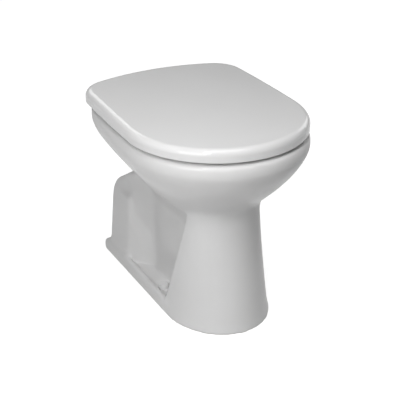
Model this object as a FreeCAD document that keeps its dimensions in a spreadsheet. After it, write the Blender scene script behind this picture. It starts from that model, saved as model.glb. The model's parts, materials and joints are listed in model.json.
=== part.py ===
import FreeCAD, Part
import math
import os

from FreeCAD import Matrix, Rotation, Vector

# A floor-standing toilet. Millimetres, +Z up, origin on the floor in the middle plane, about
# half way along. X runs to the right seen from the front, the front is -Y, the back is +Y.

doc = FreeCAD.newDocument("Toilet")
sheet = doc.addObject("Spreadsheet::Sheet", "Sizes")

driving = {
    # plan of the pan
    "pan_half_width": 184.6,
    "pan_front_reach": 188.3,
    "pan_widest_y": -70,
    "pan_rear_y": 203,
    "pan_rear_radius": 900,
    "pan_side_radius": 2134,
    "pan_corner_radius": 89,
    # bowl
    "rim_height": 393,
    "rim_edge_radius": 9,
    "rim_band": 21.4,
    "bowl_depth": 181,
    "bowl_curve": 1.52,
    "bowl_foot_half_width": 49,
    "bowl_foot_reach": 41.1,
    "bowl_foot_rear_y": 94.5,
    "bowl_foot_corner": 30,
    "rim_width": 46,
    "rim_curtain": 6,
    "curtain_depth": 48,
    "channel_width": 20,
    "channel_cover": 21,
    "deck_depth": 95,
    "opening_corner_radius": 60,
    "opening_rear_radius": 260,
    "throat_depth": 178,
    "throat_radius": 40,
    "throat_rear_radius": 60,
    "throat_corner_radius": 30,
    "basin_side_curve": 1.3,
    "basin_end_curve": 0.6,
    # trap
    "trap_radius": 34,
    "trap_bend": 36,
    "trap_low": 66,
    "trap_length": 176,
    "trap_rise": 66,
    "trap_slope": 38,
    "weir_drop": 33,
    "outlet_set_in": 102,
    "outlet_radius": 51,
    "outlet_root": 2.5,
    "outlet_bore": 42,
    "outlet_bore_depth": 60,
    "outlet_above_floor": 8,
    # flush inlet
    "inlet_drop": 43,
    "inlet_bore": 27.5,
    "inlet_depth": 40,
    "inlet_wall": 10.5,
    "inlet_proud": 5,
    "inlet_passage": 14,
    # pedestal, trap body and foot
    "foot_half_width": 110,
    "foot_front_y": -203,
    "foot_widest_y": -74,
    "foot_flare": 2.9,
    "foot_rear_y": 252,
    "foot_height": 27,
    "foot_edge_radius": 8,
    "foot_corner_radius": 6,
    "foot_band": 14,
    "pocket_floor": 15,
    "neck_drop": 118,
    "neck_half_width": 73.9,
    "neck_front_y": -158,
    "neck_widest_y": -111.7,
    "pedestal_back_y": -48,
    "pedestal_lean": 0.235,
    "body_rear_gap": 10,
    "body_side_gap": 8,
    "body_top_narrowing": 20,
    "web_side_gap": 47,
    "web_reach": 52,
    "body_corner_radius": 26,
    "body_top_drop": 190,
    "body_top_set_in": 62,
    "body_top_slope": 0.62,
    "body_top_radius": 60,
    "body_edge_radius": 10,
    "body_peak_reach": 110,
    "web_front_cover": 30,
    "wall": 12,
    "hollow_roof": 15,
    "column_roof": 18,
    # where the casting is divided
    "rim_share": 85,
    "bowl_share": 153,
    "column_reach": 66,
    "deck_share": 68,
    "inlet_step": 3.5,
    # lid
    "lid_side_gap": 1.6,
    "lid_front_gap": 6,
    "lid_overhang": 13,
    "lid_rear_radius": 582,
    "lid_side_radius": 3990,
    "lid_corner_radius": 59,
    "lid_gap": 4.3,
    "lid_rise": 32.5,
    "lid_crown_across": 3350,
    "lid_crown_along": 18700,
    "lid_crown_y": 100,
    "lid_edge_radius": 13,
    "lid_wall": 4.5,
    # seat
    "seat_inset": 14,
    "seat_thickness": 16,
    "seat_set_in": 25,
    "seat_edge_radius": 6,
    "seat_side_width": 76.6,
    "seat_front_width": 72.3,
    "seat_rear_width": 111,
    "seat_hole_corner": 70,
    # buffers
    "seat_buffer_height": 4,
    "buffer_radius": 8,
    "seat_buffer_y": 60,
    "rest_gap": 0.3,
    # hinges
    "hinge_spacing": 155,
    "hinge_set_in": 6,
    "hinge_rise": 20,
    "nose_radius": 19.5,
    "post_reach": 21,
    "post_radius": 9,
    "post_top_above_axis": 4,
    "post_base_radius": 14,
    "post_base_thickness": 2.2,
    "post_arm_width": 10,
    "post_arm_below_axis": 2,
    "pad_thickness": 1,
    "knuckle_radius": 6,
    "post_knuckle_width": 18.4,
    "ear_width": 8.5,
    "knuckle_gap": 0.4,
    "pin_radius": 3,
    "pin_overhang": 0.6,
    "bush_wall": 1.5,
    "running_gap": 0.05,
    "turning_gap": 1,
    "notch_angle": 40,
    # hinge fixing under the deck
    "deck_thickness": 15,
    "hinge_hole_radius": 6.5,
    "stud_radius": 4,
    "stud_length": 56,
    "stud_in_post": 10,
    "cone_radius": 13,
    "cone_flange": 6,
    "cone_hub_radius": 6.2,
    "cone_hub_height": 8,
    "washer_radius": 12,
    "washer_thickness": 1.5,
    "nut_radius": 9,
    "nut_height": 12,
    "wing_span": 40,
    "wing_thickness": 4,
    "nut_recess_half": 34,
    "nut_recess_reach": 20,
    "nut_recess_depth": 108,
    # floor fixing
    "floor_hole_set_in": 32,
    "floor_hole_y": 5,
    "floor_hole_radius": 6.5,
    "sleeve_radius": 6.3,
    "sleeve_bore": 4.5,
    "sleeve_flange_radius": 8.8,
    "sleeve_flange": 2,
    "cap_radius": 10,
    "cap_height": 11,
    "cap_wall": 1.1,
    "cap_top": 2.5,
    "cap_edge_radius": 1.5,
}

# Sizes that follow from the ones above.
derived = {
    "bowl_widest_height": "rim_height - rim_band",
    "bowl_bottom_height": "rim_height - bowl_depth",
    "rim_curtain_height": "rim_height - curtain_depth",
    "channel_top": "rim_height - channel_cover",
    "throat_height": "rim_height - throat_depth",
    "inlet_height": "rim_height - inlet_drop",
    "neck_height": "rim_height - neck_drop",
    "hollow_height": "throat_height - hollow_roof",
    "rim_joint": "rim_height - rim_share",
    "bowl_joint": "rim_height - bowl_share",
    "deck_joint": "pan_rear_y - deck_share",
    "outlet_y": "foot_rear_y - outlet_set_in",
    "column_joint": "outlet_y - column_reach",
    "throat_y": "outlet_y - trap_length",
    "trap_rise_y": "throat_y + trap_rise",
    "trap_crown_y": "trap_rise_y + trap_slope",
    "trap_crown": "throat_height - weir_drop",
    "column_hollow_height": "trap_crown - trap_radius - column_roof",
    "body_half_width": "foot_half_width - body_side_gap",
    "web_half_width": "foot_half_width - web_side_gap",
    "web_start_y": "outlet_y - web_reach",
    "body_top_height": "rim_height - body_top_drop",
    "body_top_y": "foot_rear_y - body_top_set_in",
    "body_peak_y": "outlet_y - body_peak_reach",
    "lid_half_width": "pan_half_width - lid_side_gap",
    "lid_front_reach": "pan_front_reach - lid_front_gap",
    "lid_rear_y": "pan_rear_y + lid_overhang",
    "lid_top_height": "rim_height + lid_rise",
    "seat_rear_y": "pan_rear_y - seat_set_in",
    "seat_hole_half_width": "pan_half_width - seat_side_width",
    "seat_hole_reach": "pan_front_reach - seat_front_width",
    "seat_hole_rear_y": "pan_rear_y - seat_rear_width",
    "hinge_axis_y": "pan_rear_y - hinge_set_in",
    "hinge_axis_height": "rim_height + hinge_rise",
    "post_y": "hinge_axis_y - post_reach",
    "nut_recess_inner_x": "hinge_spacing / 2 - nut_recess_half",
    "nut_recess_outer_x": "hinge_spacing / 2 + nut_recess_half",
    "inlet_joint": "nut_recess_inner_x + inlet_step",
    "nut_recess_front_y": "post_y - nut_recess_reach",
    "nut_recess_low": "rim_height - nut_recess_depth",
    "floor_hole_x": "foot_half_width - floor_hole_set_in",
}

cells = {alias: str(value) for alias, value in driving.items()}
cells.update({alias: "=" + formula for alias, formula in derived.items()})
for row, (alias, content) in enumerate(cells.items(), start=1):
    sheet.set("A%d" % row, alias)
    sheet.setAlias("B%d" % row, alias)
    sheet.set("B%d" % row, content)
doc.recompute()


def size(alias):
    return float(sheet.get(alias))


# Outlines


def meeting_circle(side, rear, radius):
    # Centre of a corner arc that touches the side arc and the rear arc from inside.
    side_centre, side_radius = side
    rear_centre, rear_radius = rear
    reach_side = side_radius - radius
    reach_rear = rear_radius - radius
    between = rear_centre - side_centre
    span = between.Length
    along = (reach_side ** 2 - reach_rear ** 2 + span ** 2) / (2 * span)
    across = math.sqrt(reach_side ** 2 - along ** 2)
    unit = between / span
    normal = Vector(-unit.y, unit.x, 0)
    first = side_centre + unit * along + normal * across
    second = side_centre + unit * along - normal * across
    return first if first.y > second.y else second


def touch_point(circle_centre, corner_centre, radius):
    return corner_centre + (corner_centre - circle_centre).normalize() * radius


def mirrored(point):
    return Vector(-point.x, point.y, point.z)


def oval(half_width, front_reach, widest_y, rear_y, rear_radius, side_radius, corner_radius, height):
    # Closed outline: half an ellipse in front, long side arcs, round corners and a rear arc.
    side_centre = Vector(half_width - side_radius, widest_y, 0)
    rear_centre = Vector(0, rear_y - rear_radius, 0)
    corner = meeting_circle((side_centre, side_radius), (rear_centre, rear_radius), corner_radius)
    side_end = touch_point(side_centre, corner, corner_radius)
    rear_end = touch_point(rear_centre, corner, corner_radius)
    corner_way = (side_end - corner) + (rear_end - corner)
    corner_mid = corner + corner_way.normalize() * corner_radius
    side_start = Vector(half_width, widest_y, 0)
    side_way = (side_start - side_centre) + (side_end - side_centre)
    side_mid = side_centre + side_way.normalize() * side_radius
    rear_mid = Vector(0, rear_y, 0)
    right = [
        Part.Arc(side_start, side_mid, side_end).toShape(),
        Part.Arc(side_end, corner_mid, rear_end).toShape(),
    ]
    rear = Part.Arc(rear_end, rear_mid, mirrored(rear_end)).toShape()
    left = [
        Part.Arc(mirrored(rear_end), mirrored(corner_mid), mirrored(side_end)).toShape(),
        Part.Arc(mirrored(side_end), mirrored(side_mid), mirrored(side_start)).toShape(),
    ]
    front = half_ellipse(half_width, front_reach, widest_y)
    wire = Part.Wire(right + [rear] + left + [front])
    wire.translate(Vector(0, 0, height))
    return wire


def half_ellipse(half_width, front_reach, widest_y):
    # Half a circle stretched to the width and the reach, from the left end round the front.
    arc = Part.makeCircle(1, Vector(0, 0, 0), Vector(0, 0, 1), 180, 360)
    stretch = Matrix()
    stretch.scale(half_width, front_reach, 1)
    stretch.move(Vector(0, widest_y, 0))
    return arc.transformGeometry(stretch).Edges[0]


def between(first, last, share):
    return first + (last - first) * share


def bowl_fall(height):
    # How far the bowl has drawn in at a height: 0 under the rim band, 1 at its foot.
    top = size("bowl_widest_height")
    share = max(top - height, 0) / (top - size("bowl_bottom_height"))
    return share ** size("bowl_curve")


def bowl_half_width(height):
    return between(size("pan_half_width"), size("bowl_foot_half_width"), bowl_fall(height))


def pan_oval(height):
    fall = bowl_fall(height)
    return oval(
        bowl_half_width(height),
        between(size("pan_front_reach"), size("bowl_foot_reach"), fall),
        size("pan_widest_y"),
        between(size("pan_rear_y"), size("bowl_foot_rear_y"), fall),
        size("pan_rear_radius"),
        size("pan_side_radius"),
        between(size("pan_corner_radius"), size("bowl_foot_corner"), fall),
        height,
    )


def opening_oval(growth, height):
    # The mouth of the bowl inside the rim, and outlines grown outwards from it.
    return oval(
        size("pan_half_width") - size("rim_width") + growth,
        size("pan_front_reach") - size("rim_width") + growth,
        size("pan_widest_y"),
        size("pan_rear_y") - size("deck_depth") + growth,
        size("opening_rear_radius") + growth,
        size("pan_side_radius") - size("rim_width") + growth,
        size("opening_corner_radius") + growth,
        height,
    )


def lid_oval(inset, height):
    return oval(
        size("lid_half_width") - inset,
        size("lid_front_reach") - inset,
        size("pan_widest_y"),
        size("lid_rear_y") - inset,
        size("lid_rear_radius") - inset,
        size("lid_side_radius") - inset,
        size("lid_corner_radius") - inset,
        height,
    )


def arch(half_width, front_y, widest_y, back_y, height):
    # Half an ellipse in front, closed by straight sides and a straight back.
    front = half_ellipse(half_width, widest_y - front_y, widest_y)
    corners = [
        Vector(half_width, widest_y, 0),
        Vector(half_width, back_y, 0),
        Vector(-half_width, back_y, 0),
        Vector(-half_width, widest_y, 0),
    ]
    sides = [Part.makeLine(a, b) for a, b in zip(corners, corners[1:])]
    wire = Part.Wire([front] + sides)
    wire.translate(Vector(0, 0, height))
    return wire


def rounded_path(points, radii, closed=True):
    # Straight runs through the points, with a tangent arc at each corner that has a radius.
    edges = []
    count = len(points)
    cuts = []
    for i, (point, radius) in enumerate(zip(points, radii)):
        before = (points[i - 1] - point).normalize()
        after = (points[(i + 1) % count] - point).normalize()
        if radius == 0:
            cuts.append((point, point, point))
            continue
        half = before.getAngle(after) / 2
        run = radius / math.tan(half)
        bisector = (before + after).normalize()
        middle = point + bisector * (radius / math.sin(half) - radius)
        cuts.append((point + before * run, middle, point + after * run))
    for i, (start, middle, end) in enumerate(cuts):
        if start != end:
            edges.append(Part.Arc(start, middle, end).toShape())
        if closed or i < count - 1:
            edges.append(Part.makeLine(end, cuts[(i + 1) % count][0]))
    return Part.Wire(edges)


def prism(wire, height):
    return Part.Face(wire).extrude(Vector(0, 0, height))


def block(low, high):
    span = Vector(*high) - Vector(*low)
    return Part.makeBox(span.x, span.y, span.z, Vector(*low))


def rod(radius, start, end):
    axis = Vector(*end) - Vector(*start)
    return Part.makeCylinder(radius, axis.Length, Vector(*start), axis)


def edges_between(shape, low, high):
    # Edges that lie wholly between two heights.
    inside = []
    for edge in shape.Edges:
        box = edge.BoundBox
        if box.ZMin > low and box.ZMax < high:
            inside.append(edge)
    return inside


def in_pair(shape):
    # The shape on the right and its mirror image on the left.
    return [shape, shape.mirror(Vector(0, 0, 0), Vector(1, 0, 0))]


def part_feature(label, shape):
    feature = doc.addObject("Part::Feature", label)
    feature.Label = label
    feature.Shape = shape
    return feature


# Pan: one casting of vitreous china


def bowl_outside():
    top = size("bowl_widest_height")
    bottom = size("bowl_bottom_height")
    steps = 7
    heights = [top + (bottom - top) * i / steps for i in range(steps + 1)]
    body = Part.makeLoft([pan_oval(z) for z in heights], True, False)
    rim = prism(pan_oval(top), size("rim_height") - top)
    top_edges = edges_between(rim, size("rim_height") - 1, size("rim_height") + 1)
    rim = rim.makeFillet(size("rim_edge_radius"), top_edges)
    return body.fuse(rim)


def pedestal(inset, low, high):
    # The front column leans in from the foot to the neck, with a small flare at the floor.
    def section(height):
        rise = max(height, 0) / size("neck_height")
        flare = size("foot_flare") * max(1 - max(height, 0) / size("foot_height"), 0) ** 2
        foot = size("foot_half_width") - size("foot_flare")
        half_width = foot + (size("neck_half_width") - foot) * rise + flare - inset
        front = size("foot_front_y") + size("foot_flare")
        front_y = front + (size("neck_front_y") - front) * rise - flare + inset
        widest_y = size("foot_widest_y") + (size("neck_widest_y") - size("foot_widest_y")) * rise ** 2
        return arch(half_width, front_y, widest_y, size("outlet_y"), height)

    def stretch(bottom, top):
        steps = 3
        heights = [bottom + (top - bottom) * i / steps for i in range(steps + 1)]
        return Part.makeLoft([section(z) for z in heights], True, False)

    flare_top = size("foot_height")
    return stretch(low, flare_top).fuse(stretch(flare_top, high))


def side_slab(points):
    # A side view drawn in Y and Z, as wide as the pan.
    wide = size("pan_half_width")
    corners = [Vector(-wide, y, z) for y, z in points]
    face = Part.Face(Part.makePolygon(corners + corners[:1]))
    return face.extrude(Vector(2 * wide, 0, 0))


def behind_pedestal(ahead):
    # Everything behind the pedestal's leaning back, moved forward by a wall.
    top = size("rim_height")
    start = size("pedestal_back_y") - ahead
    far = size("foot_rear_y")
    below = -top
    lean = size("pedestal_lean") * top
    return side_slab([(start + lean, below), (far, below), (far, top), (start - lean, top)])


def body_plan(height, narrowing, front):
    # Plan of the trap body: a wide rear column, shoulders and a narrow web to the pedestal.
    rear = size("foot_rear_y") - size("body_rear_gap")
    wide = size("body_half_width") - narrowing
    web = size("web_half_width")
    bend = size("body_corner_radius")
    right = [
        Vector(web, front, height),
        Vector(web, size("web_start_y"), height),
        Vector(wide, size("outlet_y"), height),
        Vector(wide, rear, height),
    ]
    radii = [0, bend, bend, 0]
    return rounded_path(right + [mirrored(p) for p in right[::-1]], radii + radii[::-1])


def body_side():
    # Side view of the trap body: the top falls to the back and rounds into the rear wall.
    rear = size("foot_rear_y") - size("body_rear_gap")
    slope = size("body_top_slope")
    drop = (rear - size("body_top_y")) * slope
    low_corner = size("body_top_height") - drop
    peak_y = size("body_peak_y")
    peak = size("body_top_height") + (size("body_top_y") - peak_y) * slope
    ahead = size("foot_front_y")
    wide = size("pan_half_width")
    corners = [(ahead, 0), (rear, 0), (rear, low_corner), (peak_y, peak), (ahead, peak)]
    radii = [0, 0, size("body_top_radius"), 0, 0]
    wire = rounded_path([Vector(-wide, y, z) for y, z in corners], radii)
    return Part.Face(wire).extrude(Vector(2 * wide, 0, 0))


def trap_body():
    top = size("neck_height")
    front = size("neck_front_y") + size("web_front_cover")
    narrow = size("body_top_narrowing")
    column = Part.makeLoft([body_plan(0, 0, front), body_plan(top, narrow, front)], True, True)
    body = column.common(body_side())
    rear = size("foot_rear_y") - size("body_rear_gap")
    outer_edges = []
    for edge in body.Edges:
        box = edge.BoundBox
        on_top = box.ZMin > size("trap_low") and box.YMin > size("web_start_y")
        at_rear = box.YMin > rear - 1
        if (on_top or at_rear) and box.ZLength > 1 and box.XLength < size("web_half_width"):
            outer_edges.append(edge)
    return body.makeFillet(size("body_edge_radius"), outer_edges)


def foot():
    outline = arch(
        size("foot_half_width"), size("foot_front_y"), size("foot_widest_y"), size("foot_rear_y"), 0
    )
    plate = prism(outline, size("foot_height"))
    rear_corners = []
    for edge in plate.Edges:
        box = edge.BoundBox
        if box.YMin > size("foot_rear_y") - 1 and box.XLength < 1:
            rear_corners.append(edge)
    plate = plate.makeFillet(size("foot_corner_radius"), rear_corners)
    rim = edges_between(plate, size("foot_height") - 1, size("foot_height") + 1)
    plate = plate.makeFillet(size("foot_edge_radius"), rim)
    inside = size("foot_half_width") - size("foot_band")
    pocket = block(
        (-inside, size("foot_widest_y"), size("pocket_floor")),
        (inside, size("outlet_y"), size("rim_height")),
    )
    start = size("pedestal_back_y") - size("foot_height")
    front = block(
        (-inside * 2, size("foot_front_y") - 1, -1), (inside * 2, start, size("foot_height") + 1)
    )
    return plate.cut([pocket, front])


def inlet_horn():
    rear = size("pan_rear_y") + size("inlet_proud")
    front = size("pan_rear_y") - size("deck_depth")
    height = size("inlet_height")
    return rod(size("inlet_bore") + size("inlet_wall"), (0, front, height), (0, rear, height))


def basin_section(height):
    # Inside of the bowl: the sides keep one wall, the front and back fall to the throat.
    top = size("rim_curtain_height")
    share = (top - height) / (top - size("throat_height"))
    throat = size("throat_radius")
    channel = size("rim_curtain") + size("channel_width") / 2
    ends = 1 - (1 - share) ** size("basin_end_curve")
    mouth_front = size("pan_widest_y") - size("pan_front_reach") + size("rim_width")
    mouth_rear = size("pan_rear_y") - size("deck_depth")
    front = between(mouth_front - channel, size("throat_y") - throat, ends)
    widest = between(size("pan_widest_y"), size("throat_y"), share ** 2)
    return oval(
        between(bowl_half_width(top) - size("wall"), throat, share ** size("basin_side_curve")),
        widest - front,
        widest,
        between(mouth_rear + channel, size("throat_y") + throat, ends),
        between(size("opening_rear_radius"), size("throat_rear_radius"), share),
        size("pan_side_radius"),
        between(size("opening_corner_radius"), size("throat_corner_radius"), share),
        height,
    )


def bowl_cavity():
    low = size("rim_curtain_height")
    mouth = prism(opening_oval(0, low), size("rim_height") - low + 1)
    tall = size("channel_top") - low
    curtain = size("rim_curtain")
    ring = prism(opening_oval(curtain + size("channel_width"), low), tall)
    ring = ring.cut(prism(opening_oval(curtain, low), tall))
    steps = 5
    heights = [low + (size("throat_height") - low) * i / steps for i in range(steps + 1)]
    basin = Part.makeLoft([basin_section(z) for z in heights], True, False)
    return basin.fuse([mouth, ring])


def trap_passage():
    # Down from the throat, along the bottom, up over the weir and down to the outlet.
    start = size("throat_height") + size("trap_radius") / 2
    route = [
        Vector(0, size("throat_y"), start),
        Vector(0, size("throat_y"), size("trap_low")),
        Vector(0, size("trap_rise_y"), size("trap_low")),
        Vector(0, size("trap_crown_y"), size("trap_crown")),
        Vector(0, size("outlet_y"), size("trap_crown")),
        Vector(0, size("outlet_y"), -size("wall")),
    ]
    bend = size("trap_bend")
    path = rounded_path(route, [0, bend, bend, bend, bend, 0], closed=False)
    circle = Part.Wire(Part.makeCircle(size("trap_radius"), route[0], Vector(0, 0, 1)))
    return path.makePipeShell([circle], True, True)


def outlet_space():
    # The rear column is open below, with the outlet spigot standing in the hollow.
    wall = size("wall")
    y = size("outlet_y")
    below = -wall
    top = size("column_hollow_height")
    narrowing = size("body_top_narrowing") * top / size("neck_height")
    wide = size("body_half_width") - narrowing - wall
    bend = size("body_corner_radius") - wall
    right = [
        Vector(size("web_half_width") - wall, size("trap_crown_y") + size("trap_radius"), below),
        Vector(wide, y, below),
        Vector(wide, size("foot_rear_y") - size("body_rear_gap") - wall, below),
    ]
    radii = [0, bend, bend]
    plan = rounded_path(right + [mirrored(p) for p in right[::-1]], radii + radii[::-1])
    depth = size("outlet_bore_depth")
    well = rod(size("outlet_radius") + wall, (0, y, below), (0, y, depth))
    hollow = prism(plan, top - below).fuse(well)
    spigot = rod(size("outlet_radius"), (0, y, size("outlet_above_floor")), (0, y, depth))
    root = rod(size("outlet_radius") + size("outlet_root"), (0, y, depth), (0, y, top + 1))
    bore = rod(size("outlet_bore"), (0, y, below), (0, y, depth))
    return hollow.cut([spigot, root]).fuse(bore)


def pedestal_hollow():
    wall = size("wall")
    inside = pedestal(wall, -wall, size("hollow_height"))
    sump_front = size("throat_y") - size("trap_radius") - wall
    wide = size("pan_half_width")
    behind = block(
        (-wide, sump_front, -2 * wall), (wide, size("foot_rear_y"), size("rim_height"))
    )
    return inside.cut(behind).cut(behind_pedestal(wall))


def flush_passage():
    rear = size("pan_rear_y") + size("inlet_proud")
    height = size("inlet_height")
    step = rear - size("inlet_depth")
    channel = size("pan_rear_y") - size("deck_depth") + size("rim_curtain")
    bore = rod(size("inlet_bore"), (0, step, height), (0, rear + 1, height))
    return bore.fuse(rod(size("inlet_passage"), (0, channel, height), (0, step, height)))


def fixing_holes():
    deck = size("rim_height")
    under = deck - size("deck_thickness")
    x = size("hinge_spacing") / 2
    y = size("post_y")
    hinge = rod(size("hinge_hole_radius"), (x, y, under - 1), (x, y, deck + 1))
    x = size("floor_hole_x")
    y = size("floor_hole_y")
    floor = rod(size("floor_hole_radius"), (x, y, -1), (x, y, size("pocket_floor") + 1))
    recess = block(
        (size("nut_recess_inner_x"), size("nut_recess_front_y"), size("nut_recess_low")),
        (size("nut_recess_outer_x"), size("foot_rear_y"), under),
    )
    return in_pair(hinge) + in_pair(floor) + in_pair(recess)


def pan_shape():
    column = pedestal(0, 0, size("neck_height")).cut(behind_pedestal(0))
    outside = bowl_outside().fuse([column, trap_body(), foot(), inlet_horn()])
    hollows = [
        bowl_cavity(),
        trap_passage(),
        outlet_space(),
        pedestal_hollow(),
        flush_passage(),
    ]
    return outside.cut(hollows + fixing_holes()).removeSplitter()


def pan_pieces():
    # The casting in simple pieces that meet face to face, so that each hollow stays open.
    whole = pan_shape()
    far = 2 * size("rim_height")
    rim = size("rim_joint")
    deck = size("deck_joint")
    inlet = size("inlet_joint")
    bowl = size("bowl_joint")
    front = size("throat_y")
    back = size("column_joint")
    spaces = {
        "pan_rim": block((-far, -far, rim), (far, deck, far)),
        "pan_inlet": block((-inlet, deck, rim), (inlet, far, far)),
        "pan_deck_left": block((-far, deck, rim), (-inlet, far, far)),
        "pan_deck_right": block((inlet, deck, rim), (far, far, far)),
        "pan_bowl": block((-far, -far, bowl), (far, far, rim)),
        "pan_pedestal": block((-far, -far, -far), (far, front, bowl)),
        "pan_trap": block((-far, front, -far), (far, back, bowl)),
        "pan_column": block((-far, back, -far), (far, far, bowl)),
    }
    return {label: whole.common(space) for label, space in spaces.items()}


# Lid and seat


def hinge_axis(x):
    return (x, size("hinge_axis_y"), size("hinge_axis_height"))


def lid_crown(inset):
    # Everything under the lid's top, which is curved more across than along.
    half_turn = math.degrees(2 * size("lid_rear_y") / size("lid_crown_along"))
    wide = size("pan_half_width") * 1.5
    across = size("lid_crown_across") - inset
    top = Vector(0, size("lid_crown_y"), size("lid_top_height") - inset)
    drop = across - math.sqrt(across ** 2 - wide ** 2)
    low = size("rim_height") / 2
    left = Vector(-wide, top.y, top.z - drop)
    right = Vector(wide, top.y, top.z - drop)
    arc = Part.Arc(left, top, right).toShape()
    rest = [right, Vector(wide, top.y, low), Vector(-wide, top.y, low), left]
    sides = [Part.makeLine(a, b) for a, b in zip(rest, rest[1:])]
    face = Part.Face(Part.Wire([arc] + sides))
    centre = Vector(0, top.y, size("lid_top_height") - size("lid_crown_along"))
    face.rotate(centre, Vector(1, 0, 0), -half_turn)
    return face.revolve(centre, Vector(1, 0, 0), 2 * half_turn)


def lid_solid(inset):
    # The lid's skirt and crowned top, or the space inside it.
    low = size("rim_height") + size("lid_gap")
    start = low if inset == 0 else low - 1
    skirt = prism(lid_oval(inset, start), size("lid_top_height") - start)
    shape = skirt.common(lid_crown(inset))
    edge = size("lid_edge_radius") - inset
    top = edges_between(shape, low + size("lid_edge_radius") / 2, size("lid_top_height") + 1)
    return shape.makeFillet(edge, top)


def ear_span():
    # Where the seat's ear, the post's knuckle and the lid's ear start and end along X.
    middle = size("hinge_spacing") / 2
    half = size("post_knuckle_width") / 2
    gap = size("knuckle_gap")
    seat = (middle - half - gap - size("ear_width"), middle - half - gap)
    lid = (middle + half + gap, middle + half + gap + size("ear_width"))
    return seat, (middle - half, middle + half), lid


def lid_shape():
    wall = size("lid_wall")
    shell = lid_solid(0).cut(lid_solid(wall))
    axis_y = size("hinge_axis_y")
    axis_z = size("hinge_axis_height")
    wide = size("pan_half_width")
    behind = block((-wide, axis_y, axis_z - 2 * wide), (wide, axis_y + wide, axis_z + wide))
    nose = rod(size("nose_radius"), hinge_axis(-wide), hinge_axis(wide))
    shell = shell.cut(behind.cut(nose))
    seat_ear = ear_span()[0]
    lid_ear = ear_span()[2]
    rear_skirt = block(
        (-lid_ear[1] - size("post_radius"), axis_y, axis_z - wide),
        (lid_ear[1] + size("post_radius"), axis_y + wide, axis_z - size("turning_gap")),
    )
    shell = shell.cut(rear_skirt)
    room = size("knuckle_radius") + size("knuckle_gap")
    pocket = rod(room, hinge_axis(seat_ear[0] - size("turning_gap")), hinge_axis(lid_ear[0]))
    shell = shell.cut(in_pair(pocket) + in_pair(arm_notch()))
    ear = rod(size("knuckle_radius"), hinge_axis(lid_ear[0]), hinge_axis(lid_ear[1]))
    root = size("pin_radius") + size("bush_wall")
    gusset = block(
        (lid_ear[0], axis_y - root, axis_z), (lid_ear[1], axis_y + root, size("lid_top_height"))
    )
    gusset = gusset.common(lid_solid(wall / 2))
    shell = shell.fuse(in_pair(ear.fuse(gusset)))
    hole = bush_radius() + size("running_gap")
    bore = rod(hole, hinge_axis(lid_ear[0] - 1), hinge_axis(lid_ear[1] + 1))
    return shell.cut(in_pair(bore)).removeSplitter()


def arm_notch():
    # Room in the lid's rear edge for the post's arm as the lid turns.
    middle = size("hinge_spacing") / 2
    half = size("post_arm_width") / 2 + size("turning_gap")
    reach = size("lid_rear_y") - size("hinge_axis_y")
    rise = reach * math.tan(math.radians(size("notch_angle")))
    corners = [(0, 0), (reach, rise), (reach, -reach), (0, -reach)]
    y0 = size("hinge_axis_y")
    z0 = size("hinge_axis_height")
    points = [Vector(middle - half, y0 + y, z0 + z) for y, z in corners]
    face = Part.Face(Part.makePolygon(points + points[:1]))
    return face.extrude(Vector(2 * half, 0, 0))


def bush_radius():
    return size("pin_radius") + size("bush_wall")


def seat_low():
    return size("rim_height") + size("seat_buffer_height")


def seat_shape():
    low = seat_low()
    thick = size("seat_thickness")
    inset = size("seat_inset")
    outline = oval(
        size("lid_half_width") - inset,
        size("lid_front_reach") - inset,
        size("pan_widest_y"),
        size("seat_rear_y"),
        size("pan_rear_radius"),
        size("pan_side_radius") - inset,
        size("pan_corner_radius"),
        low,
    )
    mouth = oval(
        size("seat_hole_half_width"),
        size("seat_hole_reach"),
        size("pan_widest_y"),
        size("seat_hole_rear_y"),
        size("opening_rear_radius"),
        size("pan_side_radius"),
        size("seat_hole_corner"),
        low - 1,
    )
    ring = prism(outline, thick).cut(prism(mouth, thick + 2))
    top_edges = edges_between(ring, low + thick - 1, low + thick + 1)
    ring = ring.makeFillet(size("seat_edge_radius"), top_edges)
    middle = size("hinge_spacing") / 2
    seat_ear = ear_span()[0]
    half = size("post_knuckle_width") / 2 + size("knuckle_gap")
    axis_y = size("hinge_axis_y")
    axis_z = size("hinge_axis_height")
    far = axis_y - size("post_y") + size("post_radius")
    fall = axis_z - size("rim_height")
    slot_reach = math.hypot(far, fall) + size("turning_gap")
    slot = block(
        (middle - half, axis_y - slot_reach, low - 1), (middle + half, axis_y + half, low + thick + 1)
    )
    ring = ring.cut(in_pair(slot))
    ear = rod(size("knuckle_radius"), hinge_axis(seat_ear[0]), hinge_axis(seat_ear[1]))
    arm = block(
        (seat_ear[0], axis_y - slot_reach, axis_z - size("knuckle_radius")),
        (seat_ear[1], axis_y, low + thick),
    )
    ring = ring.fuse(in_pair(ear) + in_pair(arm))
    hole = bush_radius() + size("running_gap")
    bore = rod(hole, hinge_axis(seat_ear[0] - 1), hinge_axis(seat_ear[1] + 1))
    return ring.cut(in_pair(bore)).removeSplitter()


def ring_places(half_width, reach, rear_y):
    # Four places on a ring: two at the front quarters and two at the back.
    quarter = math.sqrt(0.5)
    front_x = half_width * quarter
    front_y = size("pan_widest_y") - reach * quarter
    return [(-front_x, front_y), (front_x, front_y), (-half_width, rear_y), (half_width, rear_y)]


def seat_buffers_shape():
    inset = size("rim_width") / 2 + size("rim_edge_radius") / 2
    half_width = size("pan_half_width") - inset
    reach = size("pan_front_reach") - inset
    low = size("rim_height") + size("rest_gap")
    pads = []
    for x, y in ring_places(half_width, reach, size("seat_buffer_y")):
        pads.append(rod(size("buffer_radius"), (x, y, low), (x, y, seat_low())))
    return Part.makeCompound(pads)


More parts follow.
